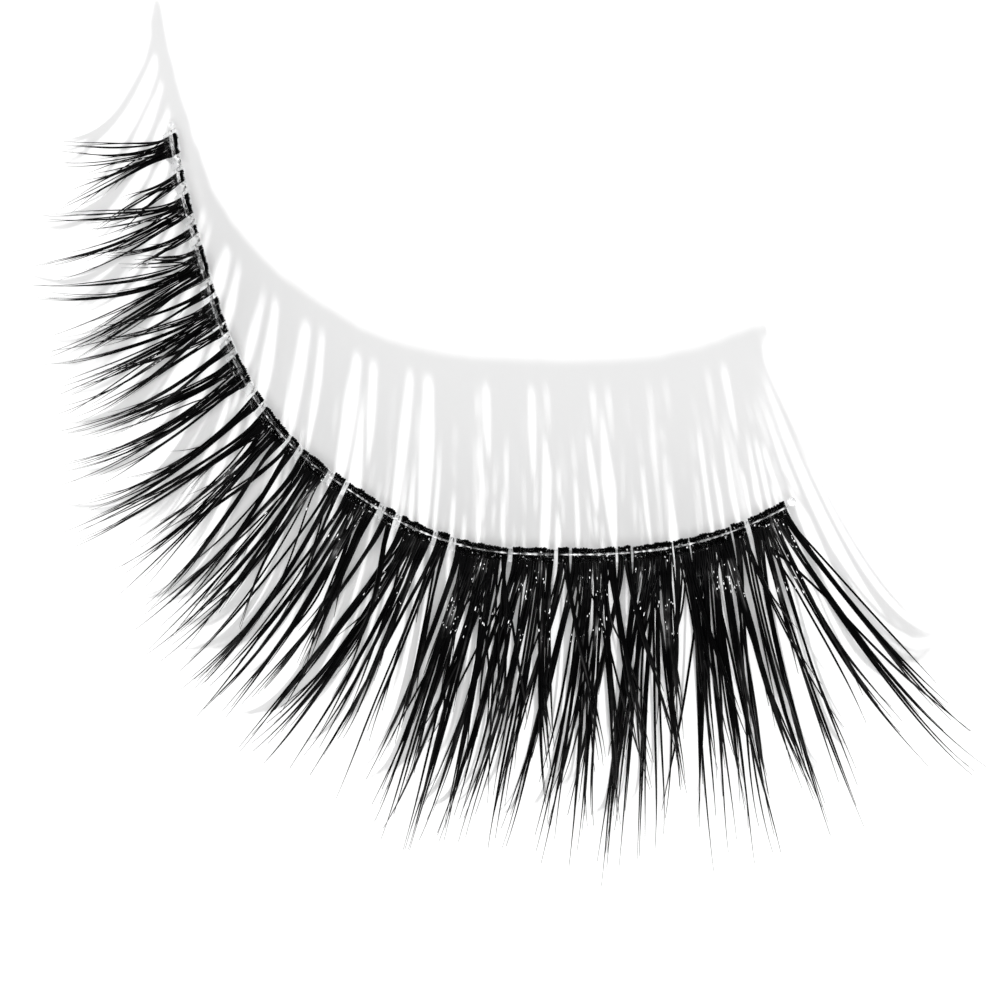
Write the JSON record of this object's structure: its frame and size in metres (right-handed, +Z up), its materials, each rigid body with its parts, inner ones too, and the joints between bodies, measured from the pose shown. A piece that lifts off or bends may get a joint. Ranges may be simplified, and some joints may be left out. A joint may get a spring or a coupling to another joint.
{
  "type": "false eyelash strip",
  "caption": "False eyelash strip for one eye: curled tapered locks of hair fan out from a clear arched band, held between the band and a fine thread, and it lies on its curls.",
  "frame": {"origin": "middle of the bounding box at its bottom, on the surface that the curls rest on", "axes": "+Z up, +X towards the outer end with the long hairs, +Y towards the inner end and away from the fanned hairs"},
  "size_m": [0.0348, 0.0292, 0.0037],
  "materials": {
    "lash_hair": "near-black synthetic hair with a soft gloss",
    "clear_thread": "clear glossy thread and band"
  },
  "bodies": {
    "root": {"band_strip": "clear_thread", "core_thread": "clear_thread", "end_knot_inner": "clear_thread", "end_knot_outer": "clear_thread", "tuft_01": "lash_hair", "tuft_02": "lash_hair", "tuft_03": "lash_hair", "tuft_04": "lash_hair", "tuft_05": "lash_hair", "tuft_06": "lash_hair", "tuft_07": "lash_hair", "tuft_08": "lash_hair", "tuft_09": "lash_hair", "tuft_10": "lash_hair", "tuft_11": "lash_hair", "tuft_12": "lash_hair", "tuft_13": "lash_hair", "tuft_14": "lash_hair", "tuft_15": "lash_hair", "side_tuft_01": "lash_hair", "side_tuft_02": "lash_hair", "side_tuft_03": "lash_hair", "side_tuft_04": "lash_hair", "side_tuft_05": "lash_hair", "side_tuft_06": "lash_hair", "side_tuft_07": "lash_hair", "side_tuft_08": "lash_hair", "side_tuft_09": "lash_hair", "side_tuft_10": "lash_hair", "side_tuft_11": "lash_hair", "side_tuft_12": "lash_hair", "side_tuft_13": "lash_hair", "side_tuft_14": "lash_hair"}
  },
  "joints": []
}
